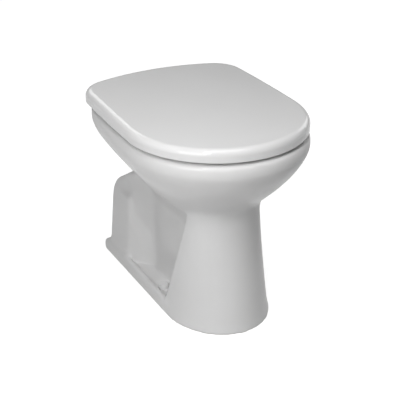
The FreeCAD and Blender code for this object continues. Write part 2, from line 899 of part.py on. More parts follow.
def lid_buffers_shape():
    half_width = (size("lid_half_width") - size("seat_inset") + size("seat_hole_half_width")) / 2
    reach = (size("lid_front_reach") - size("seat_inset") + size("seat_hole_reach")) / 2
    low = seat_low() + size("seat_thickness") + size("rest_gap")
    inside = lid_solid(size("lid_wall"))
    pads = []
    for x, y in ring_places(half_width, reach, size("seat_buffer_y")):
        pad = rod(size("buffer_radius"), (x, y, low), (x, y, size("lid_top_height")))
        pads.append(pad.common(inside))
    return Part.makeCompound(pads)


def post_shape():
    x = size("hinge_spacing") / 2
    y = size("post_y")
    base = size("rim_height") + size("pad_thickness")
    axis_y = size("hinge_axis_y")
    axis_z = size("hinge_axis_height")
    top = axis_z + size("post_top_above_axis")
    flange = rod(size("post_base_radius"), (x, y, base), (x, y, base + size("post_base_thickness")))
    pillar = rod(size("post_radius"), (x, y, base), (x, y, top))
    half = size("post_arm_width") / 2
    arm = block((x - half, y, axis_z - size("post_arm_below_axis")), (x + half, axis_y, top))
    knuckle = ear_span()[1]
    barrel = rod(size("knuckle_radius"), hinge_axis(knuckle[0]), hinge_axis(knuckle[1]))
    solid = flange.fuse([pillar, arm, barrel])
    gap = size("running_gap")
    pin_bore = rod(size("pin_radius") + gap, hinge_axis(knuckle[0] - 1), hinge_axis(knuckle[1] + 1))
    stud_top = base + size("stud_in_post") + gap
    stud_bore = rod(size("stud_radius") + gap, (x, y, base - 1), (x, y, stud_top))
    return solid.cut([pin_bore, stud_bore]).removeSplitter()


def wing_nut_shape():
    x = size("hinge_spacing") / 2
    y = size("post_y")
    top = nut_top()
    low = top - size("nut_height")
    hub = rod(size("nut_radius"), (x, y, low), (x, y, top))
    span = size("wing_span") / 2
    half = size("wing_thickness") / 2
    thick = size("wing_thickness")
    wings = block((x - span, y - half, low - thick), (x + span, y + half, top - thick))
    corners = [edge for edge in wings.Edges if edge.BoundBox.XLength < 1 and edge.BoundBox.ZLength < 1]
    wings = wings.makeFillet(thick, corners)
    hole = size("stud_radius") + size("running_gap")
    bore = rod(hole, (x, y, low - 2 * thick), (x, y, top + 1))
    return hub.fuse(wings).cut(bore).removeSplitter()


def nut_top():
    under = size("rim_height") - size("deck_thickness")
    return under - size("cone_flange") - size("washer_thickness")


def left_of(shape):
    return shape.mirror(Vector(0, 0, 0), Vector(1, 0, 0))


# Turned pieces, bound to the sheet


def cylinder(name, radius, height, place):
    item = doc.addObject("Part::Cylinder", name)
    item.setExpression("Radius", radius)
    item.setExpression("Height", height)
    for axis, where in zip("xyz", place):
        item.setExpression("Placement.Base." + axis, where)
    return item


def lying_cylinder(name, radius, height, place):
    item = cylinder(name, radius, height, place)
    item.Placement.Rotation = Rotation(Vector(0, 1, 0), 90)
    return item


def bored(label, outer, bore):
    cut = doc.addObject("Part::Cut", label)
    cut.Base = outer
    cut.Tool = bore
    cut.Label = label
    return cut


def joined(name, first, second):
    fuse = doc.addObject("Part::Fuse", name)
    fuse.Base = first
    fuse.Tool = second
    return fuse


parts = [part_feature(label, shape) for label, shape in pan_pieces().items()]
parts += [
    part_feature("seat", seat_shape()),
    part_feature("lid", lid_shape()),
    part_feature("seat_buffers", seat_buffers_shape()),
    part_feature("lid_buffers", lid_buffers_shape()),
]

right_post = post_shape()
right_nut = wing_nut_shape()
for side, sign in (("left", -1), ("right", 1)):
    post = right_post if sign > 0 else left_of(right_post)
    nut = right_nut if sign > 0 else left_of(right_nut)
    parts.append(part_feature("hinge_post_" + side, post))
    parts.append(part_feature("wing_nut_" + side, nut))

    hinge_x = "%d * Sizes.hinge_spacing / 2" % sign
    hinge_place = (hinge_x, "Sizes.post_y")
    gap = "Sizes.running_gap"

    # Pin through the seat's ear, the post and the lid's ear.
    reach = "(Sizes.post_knuckle_width / 2 + Sizes.knuckle_gap + Sizes.ear_width + Sizes.pin_overhang)"
    axis_place = ("Sizes.hinge_axis_y", "Sizes.hinge_axis_height")
    pin = lying_cylinder(
        "hinge_pin_" + side, "Sizes.pin_radius", "2 * " + reach, (hinge_x + " - " + reach,) + axis_place
    )
    pin.Label = "hinge_pin_" + side
    parts.append(pin)

    # Bushes in the ears: the seat's ear is towards the middle, the lid's is outside.
    half = "(Sizes.post_knuckle_width / 2 + Sizes.knuckle_gap)"
    inner = "(Sizes.hinge_spacing / 2 - %s - Sizes.ear_width)" % half
    outer = "(Sizes.hinge_spacing / 2 + %s)" % half
    for owner, start in (("seat", inner), ("lid", outer)):
        low = start if sign > 0 else "-%s - Sizes.ear_width" % start
        name = owner + "_bush_" + side
        place = (low,) + axis_place
        bush_size = "Sizes.pin_radius + Sizes.bush_wall"
        sleeve = lying_cylinder(name + "_outside", bush_size, "Sizes.ear_width", place)
        hole = lying_cylinder(name + "_hole", "Sizes.pin_radius + " + gap, "Sizes.ear_width", place)
        parts.append(bored(name, sleeve, hole))

    # Pad under the post, stud, rubber cone and washer under the deck.
    under = "Sizes.rim_height - Sizes.deck_thickness"
    stud_hole = "Sizes.stud_radius + " + gap
    pad_place = hinge_place + ("Sizes.rim_height",)
    pad = cylinder("pad_disc_" + side, "Sizes.post_base_radius", "Sizes.pad_thickness", pad_place)
    pad_hole = cylinder("pad_hole_" + side, stud_hole, "Sizes.pad_thickness", pad_place)
    parts.append(bored("hinge_pad_" + side, pad, pad_hole))

    stud_top = "Sizes.rim_height + Sizes.pad_thickness + Sizes.stud_in_post"
    stud_place = hinge_place + (stud_top + " - Sizes.stud_length",)
    stud = cylinder("hinge_stud_" + side, "Sizes.stud_radius", "Sizes.stud_length", stud_place)
    stud.Label = "hinge_stud_" + side
    parts.append(stud)

    flange_low = under + " - Sizes.cone_flange"
    cone_place = hinge_place + (flange_low,)
    cone_height = "Sizes.cone_flange + Sizes.cone_hub_height"
    flange = cylinder("cone_flange_" + side, "Sizes.cone_radius", "Sizes.cone_flange", cone_place)
    hub = cylinder("cone_hub_" + side, "Sizes.cone_hub_radius", cone_height, cone_place)
    cone_hole = cylinder("cone_hole_" + side, stud_hole, cone_height, cone_place)
    parts.append(bored("hinge_cone_" + side, joined("cone_body_" + side, flange, hub), cone_hole))

    washer_place = hinge_place + (flange_low + " - Sizes.washer_thickness",)
    disc = cylinder("washer_disc_" + side, "Sizes.washer_radius", "Sizes.washer_thickness", washer_place)
    disc_hole = cylinder("washer_hole_" + side, stud_hole, "Sizes.washer_thickness", washer_place)
    parts.append(bored("hinge_washer_" + side, disc, disc_hole))

    # Floor fixing: a flanged sleeve in the foot and the cap over it.
    floor_place = ("%d * Sizes.floor_hole_x" % sign, "Sizes.floor_hole_y")
    shank_place = floor_place + ("Sizes.sleeve_flange",)
    shank_length = "Sizes.pocket_floor - Sizes.sleeve_flange"
    shank = cylinder("sleeve_shank_" + side, "Sizes.sleeve_radius", shank_length, shank_place)
    cap_place = floor_place + ("Sizes.pocket_floor",)
    collar_radius = "Sizes.sleeve_flange_radius"
    collar = cylinder("sleeve_collar_" + side, collar_radius, "Sizes.sleeve_flange", cap_place)
    sleeve_hole = cylinder("sleeve_hole_" + side, "Sizes.sleeve_bore", "Sizes.pocket_floor", shank_place)
    sleeve_body = joined("sleeve_body_" + side, shank, collar)
    parts.append(bored("floor_sleeve_" + side, sleeve_body, sleeve_hole))

    dome = cylinder("cap_dome_" + side, "Sizes.cap_radius", "Sizes.cap_height", cap_place)
    room = cylinder(
        "cap_room_" + side,
        "Sizes.cap_radius - Sizes.cap_wall",
        "Sizes.cap_height - Sizes.cap_top",
        cap_place,
    )
    doc.recompute()
    rounded = doc.addObject("Part::Fillet", "cap_rounded_" + side)
    rounded.Base = dome
    edge_radius = size("cap_edge_radius")
    above = size("pocket_floor") + 1
    for number, edge in enumerate(dome.Shape.Edges, start=1):
        if edge.BoundBox.ZMin > above:
            rounded.Edges = [(number, edge_radius, edge_radius)]
    parts.append(bored("floor_cap_" + side, rounded, room))

doc.recompute()

for item in doc.Objects:
    if {"Invalid", "Error"} & set(item.State):
        raise RuntimeError("%s did not compute: %s" % (item.Label, item.State))
for part in parts:
    if part.Shape.isNull() or not part.Shape.isValid():
        raise RuntimeError("%s has no valid shape" % part.Label)

os.makedirs("parts", exist_ok=True)
for part in parts:
    part.Shape.exportStep("parts/%s.step" % part.Label)
    print(part.Label, len(part.Shape.Solids), round(part.Shape.Volume))
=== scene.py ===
import bmesh
import bpy
import json
import math
import numpy as np
from mathutils import Matrix, Vector


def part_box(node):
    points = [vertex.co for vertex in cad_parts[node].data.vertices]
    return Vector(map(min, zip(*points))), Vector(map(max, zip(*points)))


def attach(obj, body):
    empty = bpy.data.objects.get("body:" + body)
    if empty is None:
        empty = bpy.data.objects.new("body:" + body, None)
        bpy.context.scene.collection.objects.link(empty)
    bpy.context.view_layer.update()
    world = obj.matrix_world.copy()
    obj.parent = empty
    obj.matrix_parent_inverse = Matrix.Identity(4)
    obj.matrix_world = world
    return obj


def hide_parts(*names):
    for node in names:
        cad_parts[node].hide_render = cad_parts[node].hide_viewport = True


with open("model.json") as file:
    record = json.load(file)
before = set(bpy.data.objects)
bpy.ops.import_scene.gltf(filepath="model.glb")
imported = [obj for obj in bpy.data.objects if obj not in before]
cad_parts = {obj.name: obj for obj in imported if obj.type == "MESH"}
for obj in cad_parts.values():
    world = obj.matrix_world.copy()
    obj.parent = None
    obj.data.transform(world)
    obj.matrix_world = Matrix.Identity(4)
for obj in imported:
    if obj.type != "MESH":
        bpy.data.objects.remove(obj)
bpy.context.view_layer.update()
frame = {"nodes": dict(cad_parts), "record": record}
scene = bpy.context.scene
scene.view_settings.view_transform = "Standard"
print("frame loaded:", len(frame["nodes"]), "nodes")


# camera at the photograph's viewing angle
cameraSettings = {
    "turn": -26.64,  # degrees round the object, from the front
    "height": 26.0,  # degrees above the horizon
    "place": (-0.934, -1.8183, 1.2035),
    "lens": 99.63,
    "sensor": 36,
    "shift": (0.0288, -0.001),
}


def makeCamera(settings):
    turn = math.radians(settings["turn"])
    height = math.radians(settings["height"])
    right = Vector((math.cos(turn), math.sin(turn), 0))
    back = Vector((math.sin(turn) * math.cos(height), -math.cos(turn) * math.cos(height), math.sin(height)))
    up = back.cross(right)
    matrix = Matrix((right, up, back)).transposed().to_4x4()
    matrix.translation = settings["place"]
    data = bpy.data.cameras.new("studioCamera")
    data.lens = settings["lens"]
    data.sensor_width = settings["sensor"]
    data.shift_x, data.shift_y = settings["shift"]
    camera = bpy.data.objects.new("studioCamera", data)
    camera.matrix_world = matrix
    scene.collection.objects.link(camera)
    scene.camera = camera


makeCamera(cameraSettings)
print("camera set")


# node helpers
def addNode(tree, kind, x, y, values=None, **settings):
    node = tree.nodes.new(kind)
    node.location = (x, y)
    for name, value in settings.items():
        setattr(node, name, value)
    for name, value in (values or {}).items():
        node.inputs[name].default_value = value
    return node


def join(tree, output, target):
    tree.links.new(output, target)


def newGroup(name, inputs, outputs):
    group = bpy.data.node_groups.new(name, "ShaderNodeTree")
    for label, kind, value in inputs:
        socket = group.interface.new_socket(label, in_out="INPUT", socket_type=kind)
        socket.default_value = value
    for label, kind in outputs:
        group.interface.new_socket(label, in_out="OUTPUT", socket_type=kind)
    start = addNode(group, "NodeGroupInput", -900, 0)
    end = addNode(group, "NodeGroupOutput", 900, 0)
    return group, start, end


def colourMix(tree, x, y, factor, first, second):
    mix = addNode(tree, "ShaderNodeMix", x, y, data_type="RGBA")
    for output, index in ((factor, 0), (first, 6), (second, 7)):
        if isinstance(output, tuple):
            mix.inputs[index].default_value = output
        else:
            join(tree, output, mix.inputs[index])
    return mix.outputs[2]


# cloudy tone: two close colours that drift over the surface
def makeToneGroup():
    group, start, end = newGroup(
        "cloudyTone",
        [
            ("Light", "NodeSocketColor", (0.8, 0.8, 0.8, 1)),
            ("Dark", "NodeSocketColor", (0.7, 0.7, 0.7, 1)),
            ("Scale", "NodeSocketFloat", 6.0),
            ("Detail", "NodeSocketFloat", 3.0),
        ],
        [("Colour", "NodeSocketColor")],
    )
    where = addNode(group, "ShaderNodeTexCoord", -700, -200)
    cloud = addNode(group, "ShaderNodeTexNoise", -400, -100, {"Roughness": 0.55})
    join(group, where.outputs["Object"], cloud.inputs["Vector"])
    join(group, start.outputs["Scale"], cloud.inputs["Scale"])
    join(group, start.outputs["Detail"], cloud.inputs["Detail"])
    spread = addNode(group, "ShaderNodeMapRange", -100, -100, {"From Min": 0.3, "From Max": 0.7})
    join(group, cloud.outputs[0], spread.inputs["Value"])
    mixed = colourMix(group, 300, 100, spread.outputs[0], start.outputs["Light"], start.outputs["Dark"])
    join(group, mixed, end.inputs["Colour"])
    return group


# ripple: slow waves with a fine skin on top, as a fired glaze or a moulding has
def makeRippleGroup():
    group, start, end = newGroup(
        "surfaceRipple",
        [
            ("Wave Scale", "NodeSocketFloat", 30.0),
            ("Skin Scale", "NodeSocketFloat", 400.0),
            ("Skin Share", "NodeSocketFloat", 0.3),
            ("Rough Low", "NodeSocketFloat", 0.1),
            ("Rough High", "NodeSocketFloat", 0.2),
        ],
        [("Height", "NodeSocketFloat"), ("Roughness", "NodeSocketFloat")],
    )
    where = addNode(group, "ShaderNodeTexCoord", -900, -300)
    wave = addNode(group, "ShaderNodeTexNoise", -600, 0, {"Detail": 1.0})
    skin = addNode(group, "ShaderNodeTexNoise", -600, -300, {"Detail": 2.0})
    for noise, scale in ((wave, "Wave Scale"), (skin, "Skin Scale")):
        join(group, where.outputs["Object"], noise.inputs["Vector"])
        join(group, start.outputs[scale], noise.inputs["Scale"])
    part = addNode(group, "ShaderNodeMath", -300, -300, operation="MULTIPLY")
    join(group, skin.outputs[0], part.inputs[0])
    join(group, start.outputs["Skin Share"], part.inputs[1])
    total = addNode(group, "ShaderNodeMath", 0, 0, operation="ADD")
    join(group, wave.outputs[0], total.inputs[0])
    join(group, part.outputs[0], total.inputs[1])
    rough = addNode(group, "ShaderNodeMapRange", 300, -200, {"From Min": 0.35, "From Max": 0.65})
    join(group, wave.outputs[0], rough.inputs["Value"])
    join(group, start.outputs["Rough Low"], rough.inputs["To Min"])
    join(group, start.outputs["Rough High"], rough.inputs["To Max"])
    join(group, total.outputs[0], end.inputs["Height"])
    join(group, rough.outputs[0], end.inputs["Roughness"])
    return group


# brushed lines: noise drawn out along one direction
def makeBrushedGroup():
    group, start, end = newGroup(
        "brushedLines",
        [
            ("Stretch", "NodeSocketVector", (40.0, 900.0, 900.0)),
            ("Light", "NodeSocketColor", (0.75, 0.75, 0.75, 1)),
            ("Dark", "NodeSocketColor", (0.6, 0.6, 0.6, 1)),
            ("Rough Low", "NodeSocketFloat", 0.22),
            ("Rough High", "NodeSocketFloat", 0.38),
        ],
        [("Colour", "NodeSocketColor"), ("Roughness", "NodeSocketFloat"), ("Height", "NodeSocketFloat")],
    )
    where = addNode(group, "ShaderNodeTexCoord", -900, -300)
    pulled = addNode(group, "ShaderNodeVectorMath", -700, -200, operation="MULTIPLY")
    join(group, where.outputs["Object"], pulled.inputs[0])
    join(group, start.outputs["Stretch"], pulled.inputs[1])
    lines = addNode(group, "ShaderNodeTexNoise", -450, -100, {"Scale": 1.0, "Detail": 3.0})
    join(group, pulled.outputs[0], lines.inputs["Vector"])
    rough = addNode(group, "ShaderNodeMapRange", 0, -200, {"From Min": 0.3, "From Max": 0.7})
    join(group, lines.outputs[0], rough.inputs["Value"])
    join(group, start.outputs["Rough Low"], rough.inputs["To Min"])
    join(group, start.outputs["Rough High"], rough.inputs["To Max"])
    mixed = colourMix(group, 300, 100, lines.outputs[0], start.outputs["Dark"], start.outputs["Light"])
    join(group, mixed, end.inputs["Colour"])
    join(group, rough.outputs[0], end.inputs["Roughness"])
    join(group, lines.outputs[0], end.inputs["Height"])
    return group


# foot line: the bare fired clay where the glaze stops above the floor
def makeFootLineGroup():
    group, start, end = newGroup(
        "bareFootLine",
        [
            ("Height", "NodeSocketFloat", 0.002),
            ("Waver", "NodeSocketFloat", 0.0015),
            ("Glazed", "NodeSocketColor", (0.8, 0.8, 0.8, 1)),
            ("Bare", "NodeSocketColor", (0.66, 0.63, 0.58, 1)),
            ("Glazed Rough", "NodeSocketFloat", 0.1),
            ("Bare Rough", "NodeSocketFloat", 0.75),
        ],
        [("Colour", "NodeSocketColor"), ("Roughness", "NodeSocketFloat")],
    )
    where = addNode(group, "ShaderNodeTexCoord", -900, -300)
    split = addNode(group, "ShaderNodeSeparateXYZ", -650, -200)
    join(group, where.outputs["Object"], split.inputs[0])
    waver = addNode(group, "ShaderNodeTexNoise", -650, -450, {"Scale": 70.0, "Detail": 2.0})
    join(group, where.outputs["Object"], waver.inputs["Vector"])
    lift = addNode(group, "ShaderNodeMath", -400, -400, operation="MULTIPLY")
    join(group, waver.outputs[0], lift.inputs[0])
    join(group, start.outputs["Waver"], lift.inputs[1])
    line = addNode(group, "ShaderNodeMath", -200, -300, operation="ADD")
    join(group, lift.outputs[0], line.inputs[0])
    join(group, start.outputs["Height"], line.inputs[1])
    below = addNode(group, "ShaderNodeMath", 0, -200, operation="LESS_THAN")
    join(group, split.outputs["Z"], below.inputs[0])
    join(group, line.outputs[0], below.inputs[1])
    mixed = colourMix(group, 300, 100, below.outputs[0], start.outputs["Glazed"], start.outputs["Bare"])
    rough = addNode(group, "ShaderNodeMix", 300, -200, data_type="FLOAT")
    join(group, below.outputs[0], rough.inputs[0])
    join(group, start.outputs["Glazed Rough"], rough.inputs[2])
    join(group, start.outputs["Bare Rough"], rough.inputs[3])
    join(group, mixed, end.inputs["Colour"])
    join(group, rough.outputs[0], end.inputs["Roughness"])
    return group


toneGroup = makeToneGroup()
rippleGroup = makeRippleGroup()
brushedGroup = makeBrushedGroup()
footLineGroup = makeFootLineGroup()
print("shared effects built")


def useGroup(tree, group, x, y, values):
    node = addNode(tree, "ShaderNodeGroup", x, y, node_tree=group)
    for name, value in values.items():
        node.inputs[name].default_value = value
    return node


def bumpFrom(tree, height, shader, strength, distance):
    bump = addNode(tree, "ShaderNodeBump", -250, -350, {"Strength": strength, "Distance": distance})
    join(tree, height, bump.inputs["Height"])
    join(tree, bump.outputs["Normal"], shader.inputs["Normal"])


def grey(value, warm=0.0):
    return (value * (1 + warm), value, value * (1 - warm), 1)


# white finishes: china and plastics share the tone and the ripple
def makeWhite(name, settings):
    material = bpy.data.materials.new(name)
    material.use_nodes = True
    tree = material.node_tree
    shader = tree.nodes["Principled BSDF"]
    for socket, value in settings["shader"].items():
        shader.inputs[socket].default_value = value
    tone = useGroup(tree, toneGroup, -700, 200, settings["tone"])
    ripple = useGroup(tree, rippleGroup, -700, -150, settings["ripple"])
    colour = tone.outputs["Colour"]
    rough = ripple.outputs["Roughness"]
    if "footLine" in settings:
        line = useGroup(tree, footLineGroup, -450, 100, settings["footLine"])
        join(tree, colour, line.inputs["Glazed"])
        join(tree, rough, line.inputs["Glazed Rough"])
        colour = line.outputs["Colour"]
        rough = line.outputs["Roughness"]
    join(tree, colour, shader.inputs["Base Color"])
    join(tree, rough, shader.inputs["Roughness"])
    bumpFrom(tree, ripple.outputs["Height"], shader, *settings["bump"])
    return material


chinaSettings = {
    "shader": {"IOR": 1.5, "Specular IOR Level": 0.1, "Coat Weight": 0.25, "Coat Roughness": 0.05},
    "tone": {"Light": grey(0.79), "Dark": grey(0.75, 0.004), "Scale": 5.0, "Detail": 3.0},
    "ripple": {
        "Wave Scale": 26.0, "Skin Scale": 520.0, "Skin Share": 0.06,
        "Rough Low": 0.4, "Rough High": 0.5,
    },
    "footLine": {"Height": 0.0012, "Waver": 0.0012, "Bare": (0.62, 0.59, 0.54, 1), "Bare Rough": 0.8},
    "bump": (0.12, 0.001),
}
seatSettings = {
    "shader": {"IOR": 1.5, "Specular IOR Level": 0.1, "Coat Weight": 0.7, "Coat Roughness": 0.06},
    "tone": {"Light": grey(0.8), "Dark": grey(0.775, 0.003), "Scale": 4.0, "Detail": 2.0},
    "ripple": {
        "Wave Scale": 18.0, "Skin Scale": 900.0, "Skin Share": 0.1,
        "Rough Low": 0.4, "Rough High": 0.5,
    },
    "bump": (0.06, 0.001),
}
# cover cap: its white is set lighter than the china's as painted light, standing in for the light that
# falls on the cap's top
capPaintedLightSettings = {
    "shader": {"IOR": 1.5, "Coat Weight": 0.2, "Coat Roughness": 0.05},
    "tone": {"Light": grey(0.84), "Dark": grey(0.8, 0.004), "Scale": 40.0, "Detail": 2.0},
    "ripple": {
        "Wave Scale": 90.0, "Skin Scale": 1500.0, "Skin Share": 0.2,
        "Rough Low": 0.16, "Rough High": 0.24,
    },
    "bump": (0.05, 0.0005),
}
nylonSettings = {
    "shader": {"IOR": 1.53},
    "tone": {"Light": grey(0.78, 0.01), "Dark": grey(0.7, 0.02), "Scale": 60.0, "Detail": 3.0},
    "ripple": {
        "Wave Scale": 150.0, "Skin Scale": 2500.0, "Skin Share": 0.5,
        "Rough Low": 0.38, "Rough High": 0.52,
    },
    "bump": (0.15, 0.0004),
}
paleRubberSettings = {
    "shader": {"IOR": 1.5},
    "tone": {"Light": grey(0.64, 0.01), "Dark": grey(0.55, 0.015), "Scale": 90.0, "Detail": 4.0},
    "ripple": {
        "Wave Scale": 200.0, "Skin Scale": 3000.0, "Skin Share": 0.8,
        "Rough Low": 0.6, "Rough High": 0.78,
    },
    "bump": (0.25, 0.0003),
}
blackRubberSettings = {
    "shader": {"IOR": 1.5},
    "tone": {"Light": grey(0.045), "Dark": grey(0.02), "Scale": 90.0, "Detail": 4.0},
    "ripple": {
        "Wave Scale": 200.0, "Skin Scale": 3000.0, "Skin Share": 0.8,
        "Rough Low": 0.55, "Rough High": 0.75,
    },
    "bump": (0.25, 0.0003),
}


# metals: brushed lines with a cloudy plating over them
def makeMetal(name, settings):
    material = bpy.data.materials.new(name)
    material.use_nodes = True
    tree = material.node_tree
    shader = tree.nodes["Principled BSDF"]
    shader.inputs["Metallic"].default_value = 1.0
    lines = useGroup(tree, brushedGroup, -900, 0, settings["lines"])
    tone = useGroup(tree, toneGroup, -900, 350, settings["tone"])
    mix = addNode(tree, "ShaderNodeMix", -450, 250, data_type="RGBA", blend_type="MULTIPLY")
    mix.inputs[0].default_value = settings["cloud"]
    join(tree, lines.outputs["Colour"], mix.inputs[6])
    join(tree, tone.outputs["Colour"], mix.inputs[7])
    join(tree, mix.outputs[2], shader.inputs["Base Color"])
    join(tree, lines.outputs["Roughness"], shader.inputs["Roughness"])
    bumpFrom(tree, lines.outputs["Height"], shader, *settings["bump"])
    return material


hingeSettings = {
    "lines": {
        "Stretch": (60.0, 60.0, 1400.0), "Light": grey(0.78), "Dark": grey(0.6),
        "Rough Low": 0.2, "Rough High": 0.34,
    },
    "tone": {"Light": grey(1.0), "Dark": grey(0.86), "Scale": 50.0, "Detail": 2.0},
    "cloud": 0.6,
    "bump": (0.12, 0.0002),
}
platedSettings = {
    "lines": {
        "Stretch": (500.0, 500.0, 500.0), "Light": grey(0.7), "Dark": grey(0.52),
        "Rough Low": 0.3, "Rough High": 0.46,
    },
    "tone": {"Light": (0.95, 0.97, 1.0, 1), "Dark": (0.82, 0.84, 0.86, 1), "Scale": 140.0, "Detail": 3.0},
    "cloud": 0.9,
    "bump": (0.1, 0.0002),
}

finishes = {
    "china": makeWhite("glazedChina", chinaSettings),
    "seat_plastic": makeWhite("seatMoulding", seatSettings),
    # the cap's lighter white is painted light
    "cap_plastic": makeWhite("capGlossPaintedLight", capPaintedLightSettings),
    "bush_plastic": makeWhite("bushNylon", nylonSettings),
    "nut_plastic": makeWhite("nutNylon", nylonSettings),
    "sleeve_plastic": makeWhite("sleeveNylon", nylonSettings),
    "buffer_rubber": makeWhite("bufferRubber", paleRubberSettings),
    "fixing_rubber": makeWhite("fixingRubber", blackRubberSettings),
    "hinge_metal": makeMetal("hingeSteel", hingeSettings),
    "fixing_steel": makeMetal("platedSteel", platedSettings),
}
for row in frame["record"]["subparts"]:
    mesh = frame["nodes"][row["node"]].data
    mesh.materials.clear()
    mesh.materials.append(finishes[row["material_slot"]])
print("finishes:", len(finishes))


# the pan as it leaves the kiln: the casting's inner corners fill with glaze, its edges soften
panSettings = {
    "voxel": 0.0027,
    "joints": {0: (-0.047, 0.047), 1: (-0.026, 0.084, 0.135), 2: (0.24, 0.308)},  # by axis
    "jointSlack": 1e-5,
    "mergeReach": 1e-6,
    "step": 0.5,  # share of the way to the neighbours' middle that a point goes in one round
    "fillRounds": 150,  # more rounds give wider fillets
    "normalRounds": 10,  # the normals are taken afresh after this many
    "neck": {"front": -0.02, "back": 0.01, "low": (0.15, 0.2), "high": (0.29, 0.32)},
    "foot": (0.05, 0.09),  # the foot's fillets fade out between these heights
    "elsewhere": 0.12,
    "softRounds": 9,
    "rim": (0.325, 0.358),  # between these heights the softening falls to rimShare
    "rimShare": 0.15,
    "roundRounds": 80,
    "rimTop": (0.362, 0.38),
    "deck": (0.15, 0.1),  # the rim is rounded in front of this
    "floorHole": {"x": 0.078, "y": 0.005, "reach": (0.014, 0.021), "softShare": 0.1},
    "web": {
        "backLine": (  # y and z
            (0.09, 0.02), (0.095, 0.068), (0.11, 0.093), (0.129, 0.113), (0.155, 0.131), (0.18, 0.15),
        ),
        "depth": 0.008,
        "fade": (-0.025, 0.01),  # in front of the back line
        "top": (0.22, 0.18),
        "walls": (0.055, 0.06, 0.07, 0.09),  # from the wall's inside to the bend's outside
        "front": (-0.095, 0.05),  # the press starts behind these, in the wall and in the bend
        "facing": (0.2, 0.6),  # only what faces sideways is pressed
    },
}


def onJoint(face, joints, slack):
    return any(
        all(abs(corner.co[axis] - place) < slack for corner in face.verts)
        for axis, places in joints.items()
        for place in places
    )


def remeshedCopy(name, nodes, settings):
    shell = bmesh.new()
    for node in nodes:
        shell.from_mesh(frame["nodes"][node].data)
    joints, slack = settings["joints"], settings["jointSlack"]
    inner = [face for face in shell.faces if onJoint(face, joints, slack)]
    bmesh.ops.delete(shell, geom=inner, context="FACES_ONLY")
    bmesh.ops.remove_doubles(shell, verts=shell.verts, dist=settings["mergeReach"])
    mesh = bpy.data.meshes.new(name + "Rough")
    shell.to_mesh(mesh)
    shell.free()
    rough = bpy.data.objects.new(name + "Rough", mesh)
    scene.collection.objects.link(rough)
    remesh = rough.modifiers.new("remesh", "REMESH")
    remesh.mode = "VOXEL"
    remesh.voxel_size = settings["voxel"]
    evaluated = rough.evaluated_get(bpy.context.evaluated_depsgraph_get())
    smooth = bpy.data.meshes.new_from_object(evaluated)
    smooth.name = name
    bpy.data.objects.remove(rough)
    piece = bpy.data.objects.new(name, smooth)
    scene.collection.objects.link(piece)
    return piece


def ramp(value, low, high):
    share = np.clip((value - low) / (high - low), 0, 1)
    return share * share * (3 - 2 * share)


def drift(points, edges, count):
    total = np.zeros_like(points)
    for axis in range(3):
        total[:, axis] += np.bincount(edges[:, 0], points[edges[:, 1], axis], len(points))
        total[:, axis] += np.bincount(edges[:, 1], points[edges[:, 0], axis], len(points))
    return total / count - points


def normalsOf(mesh, points):
    mesh.vertices.foreach_set("co", points.ravel())
    mesh.update()
    normals = np.zeros(points.size)
    mesh.vertex_normals.foreach_get("vector", normals)
    return normals.reshape(-1, 3)


def fillCorners(mesh, points, edges, count, share, settings):
    for turn in range(settings["fillRounds"]):
        if turn % settings["normalRounds"] == 0:
            normals = normalsOf(mesh, points)
        rise = np.sum(drift(points, edges, count) * normals, axis=1)
        points = points + normals * (np.maximum(rise, 0) * share * settings["step"])[:, None]
    return points


def pressWeb(points, normals, settings):
    x, y, z = points.T
    side = np.sign(x)
    reach = np.abs(x)
    facing = ramp(normals[:, 0] * side, *settings["facing"])
    lineY, lineZ = np.array(settings["backLine"]).T
    inner, wall, bend, outer = settings["walls"]
    inWeb = (reach < outer) & (y > np.where(reach < bend, *settings["front"]))
    web = ramp(np.interp(z, lineZ, lineY) - y, *settings["fade"]) * ramp(z, *settings["top"])
    pressed = points.copy()
    pressed[:, 0] -= side * settings["depth"] * web * inWeb * ramp(reach, inner, wall) * facing
    return pressed


def panShares(points, settings):
    x, y, z = points.T
    hole, neck = settings["floorHole"], settings["neck"]
    holeAway = ramp(np.hypot(np.abs(x) - hole["x"], y - hole["y"]), *hole["reach"])
    rim = ramp(z, *settings["rim"])
    atNeck = ramp(y, neck["back"], neck["front"]) * ramp(z, *neck["low"]) * ramp(z, *neck["high"][::-1])
    atFoot = ramp(z, *settings["foot"][::-1])
    fill = np.maximum(np.maximum(atNeck, atFoot), settings["elsewhere"]) * holeAway * (1 - rim)
    atHole = hole["softShare"] + (1 - hole["softShare"]) * holeAway
    soft = (1 - (1 - settings["rimShare"]) * rim) * atHole
    rounded = ramp(z, *settings["rimTop"]) * ramp(y, *settings["deck"])
    return fill, soft, rounded


def meshArrays(mesh):
    points = np.zeros(len(mesh.vertices) * 3)
    mesh.vertices.foreach_get("co", points)
    edges = np.zeros(len(mesh.edges) * 2, dtype=np.int64)
    mesh.edges.foreach_get("vertices", edges)
    return points.reshape(-1, 3), edges.reshape(-1, 2)


def makePan(settings):
    nodes = [row["node"] for row in frame["record"]["subparts"] if row["material_slot"] == "china"]
    piece = remeshedCopy("panCasting", nodes, settings)
    mesh = piece.data
    points, edges = meshArrays(mesh)
    count = np.bincount(edges.ravel(), minlength=len(points))[:, None]
    fill, soft, rounded = panShares(points, settings)
    points = fillCorners(mesh, points, edges, count, fill, settings)
    points = pressWeb(points, normalsOf(mesh, points), settings["web"])
    for share, rounds in ((soft, settings["softRounds"]), (rounded, settings["roundRounds"])):
        for turn in range(rounds):
            points = points + drift(points, edges, count) * share[:, None] * settings["step"]
    points[:, 2] = np.maximum(points[:, 2], 0)
    mesh.vertices.foreach_set("co", points.ravel())
    mesh.update()
    mesh.shade_smooth()
    mesh.materials.clear()
    mesh.materials.append(finishes["china"])
    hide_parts(*nodes)
    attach(piece, "pan")
    return piece


pan = makePan(panSettings)
print("pan:", len(pan.data.vertices), "points")


# hinge studs with their rolled thread
studSettings = {"pitch": 0.00125, "depth": 0.0007, "around": 20, "perTurn": 6, "chamfer": 0.0012}


